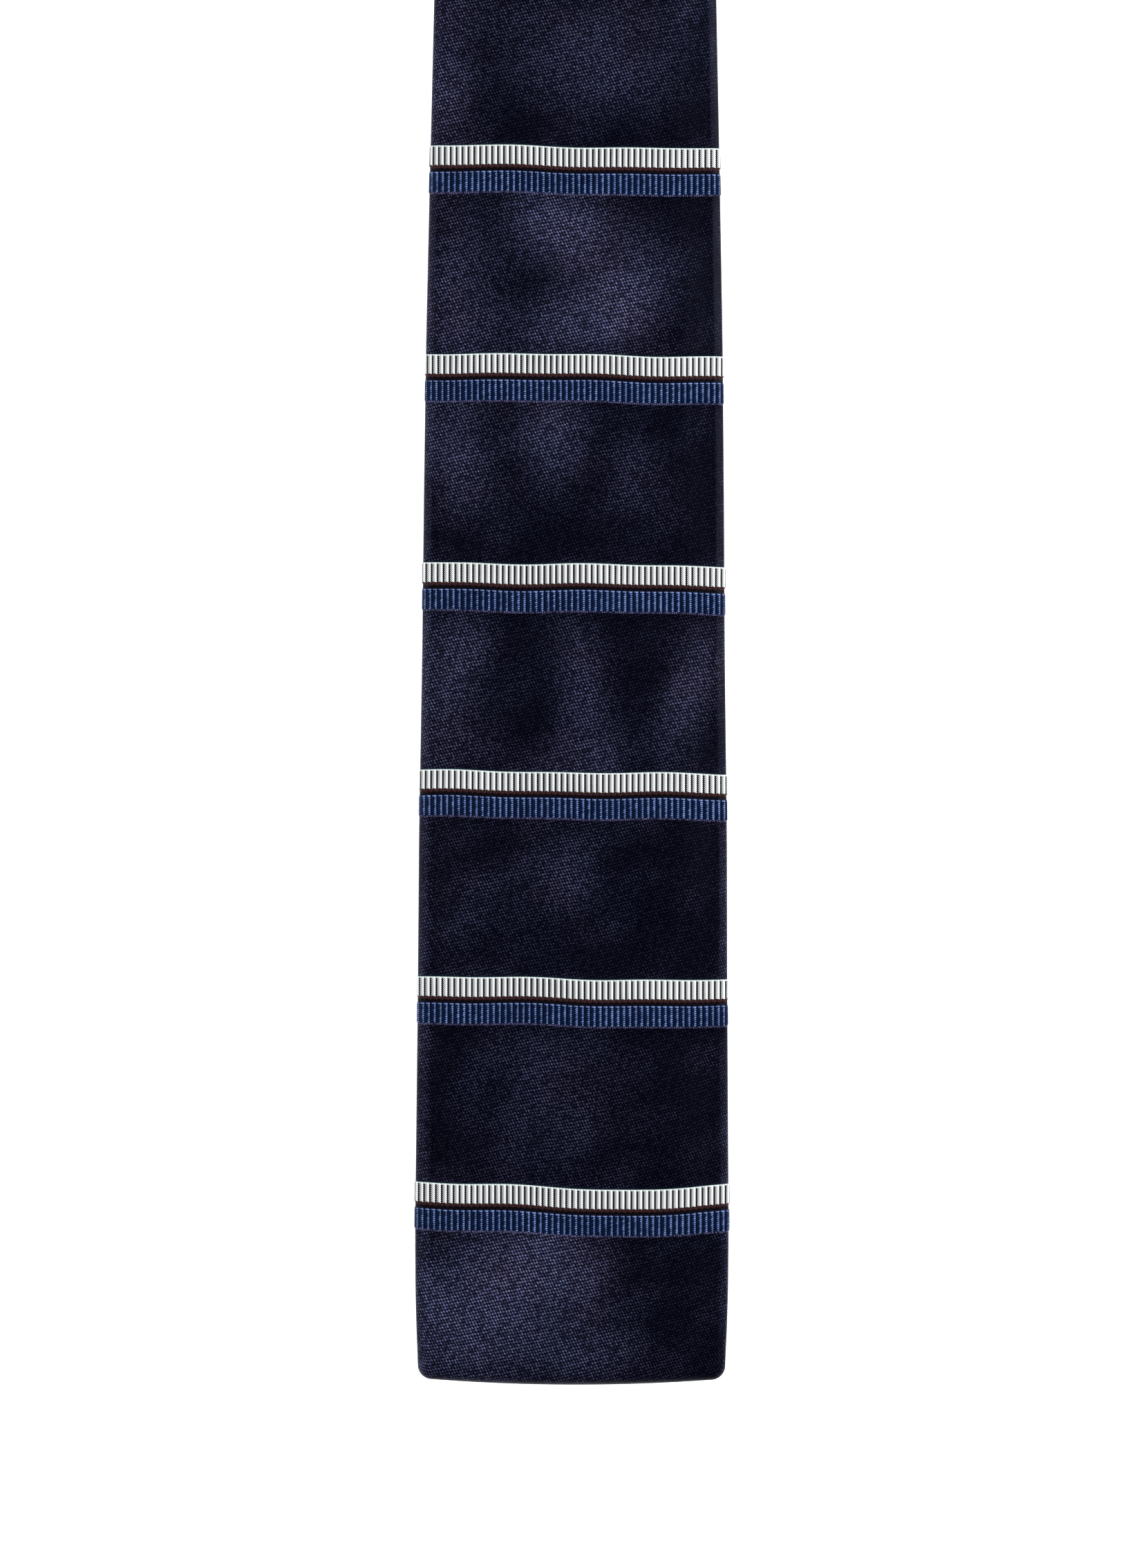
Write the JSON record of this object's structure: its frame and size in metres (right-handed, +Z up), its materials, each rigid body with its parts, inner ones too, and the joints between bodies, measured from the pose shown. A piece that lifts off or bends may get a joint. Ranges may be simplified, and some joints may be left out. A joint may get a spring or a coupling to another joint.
{
  "type": "necktie",
  "caption": "Slim square-ended silk necktie with crosswise ribbed stripe pairs, folded for storage with its front blade on top.",
  "frame": {"origin": "on the surface the folded tie lies on, under the middle of its bounding box", "axes": "+Y from the front blade's square end to the far folds, +X across the tie, +Z up out of the front blade's face"},
  "size_m": [0.06, 0.384, 0.0172],
  "materials": {
    "silk": "satin",
    "tipping": "satin",
    "interlining": "matte",
    "thread": "matte",
    "name_label": "satin",
    "care_label": "satin"
  },
  "bodies": {
    "root": {"tail_silk": "silk", "tail_interlining": "interlining", "tail_tipping": "tipping", "tail_bar_tack": "thread", "tail_slip_stitch": "thread", "tail_fold_silk": "silk", "tail_fold_interlining": "interlining"},
    "tail_upper": {"neck_silk_tail": "silk", "tail_upper_silk": "silk", "tail_upper_interlining": "interlining", "tail_seam_thread": "thread", "tail_upper_slip_stitch": "thread", "neck_fold_silk": "silk", "neck_fold_interlining": "interlining"},
    "front_upper": {"front_upper_silk": "silk", "neck_silk_front": "silk", "front_upper_interlining": "interlining", "front_seam_thread": "thread", "front_upper_slip_stitch": "thread", "front_fold_silk": "silk", "front_fold_interlining": "interlining"},
    "front_blade": {"front_blade_silk": "silk", "front_blade_interlining": "interlining", "front_tipping": "tipping", "front_bar_tack": "thread", "front_blade_slip_stitch": "thread", "keeper_loop": "silk", "name_label": "name_label", "care_label": "care_label"}
  },
  "joints": [
    {"name": "tail_fold", "type": "hinge", "parent": "root", "child": "tail_upper", "pos_m": [0, 0.18755, 0.0039], "axis": [-1, 0, 0], "range_deg": [0, 179.5], "deforming": ["tail_fold_silk", "tail_fold_interlining"]},
    {"name": "neck_fold", "type": "hinge", "parent": "tail_upper", "child": "front_upper", "pos_m": [0, -0.17315, 0.0081], "axis": [1, 0, 0], "range_deg": [0, 179.5], "deforming": ["neck_fold_silk", "neck_fold_interlining"]},
    {"name": "front_fold", "type": "hinge", "parent": "front_upper", "child": "front_blade", "pos_m": [0, 0.18755, 0.0128], "axis": [-1, 0, 0], "range_deg": [0, 179.5], "deforming": ["front_fold_silk", "front_fold_interlining"]}
  ]
}
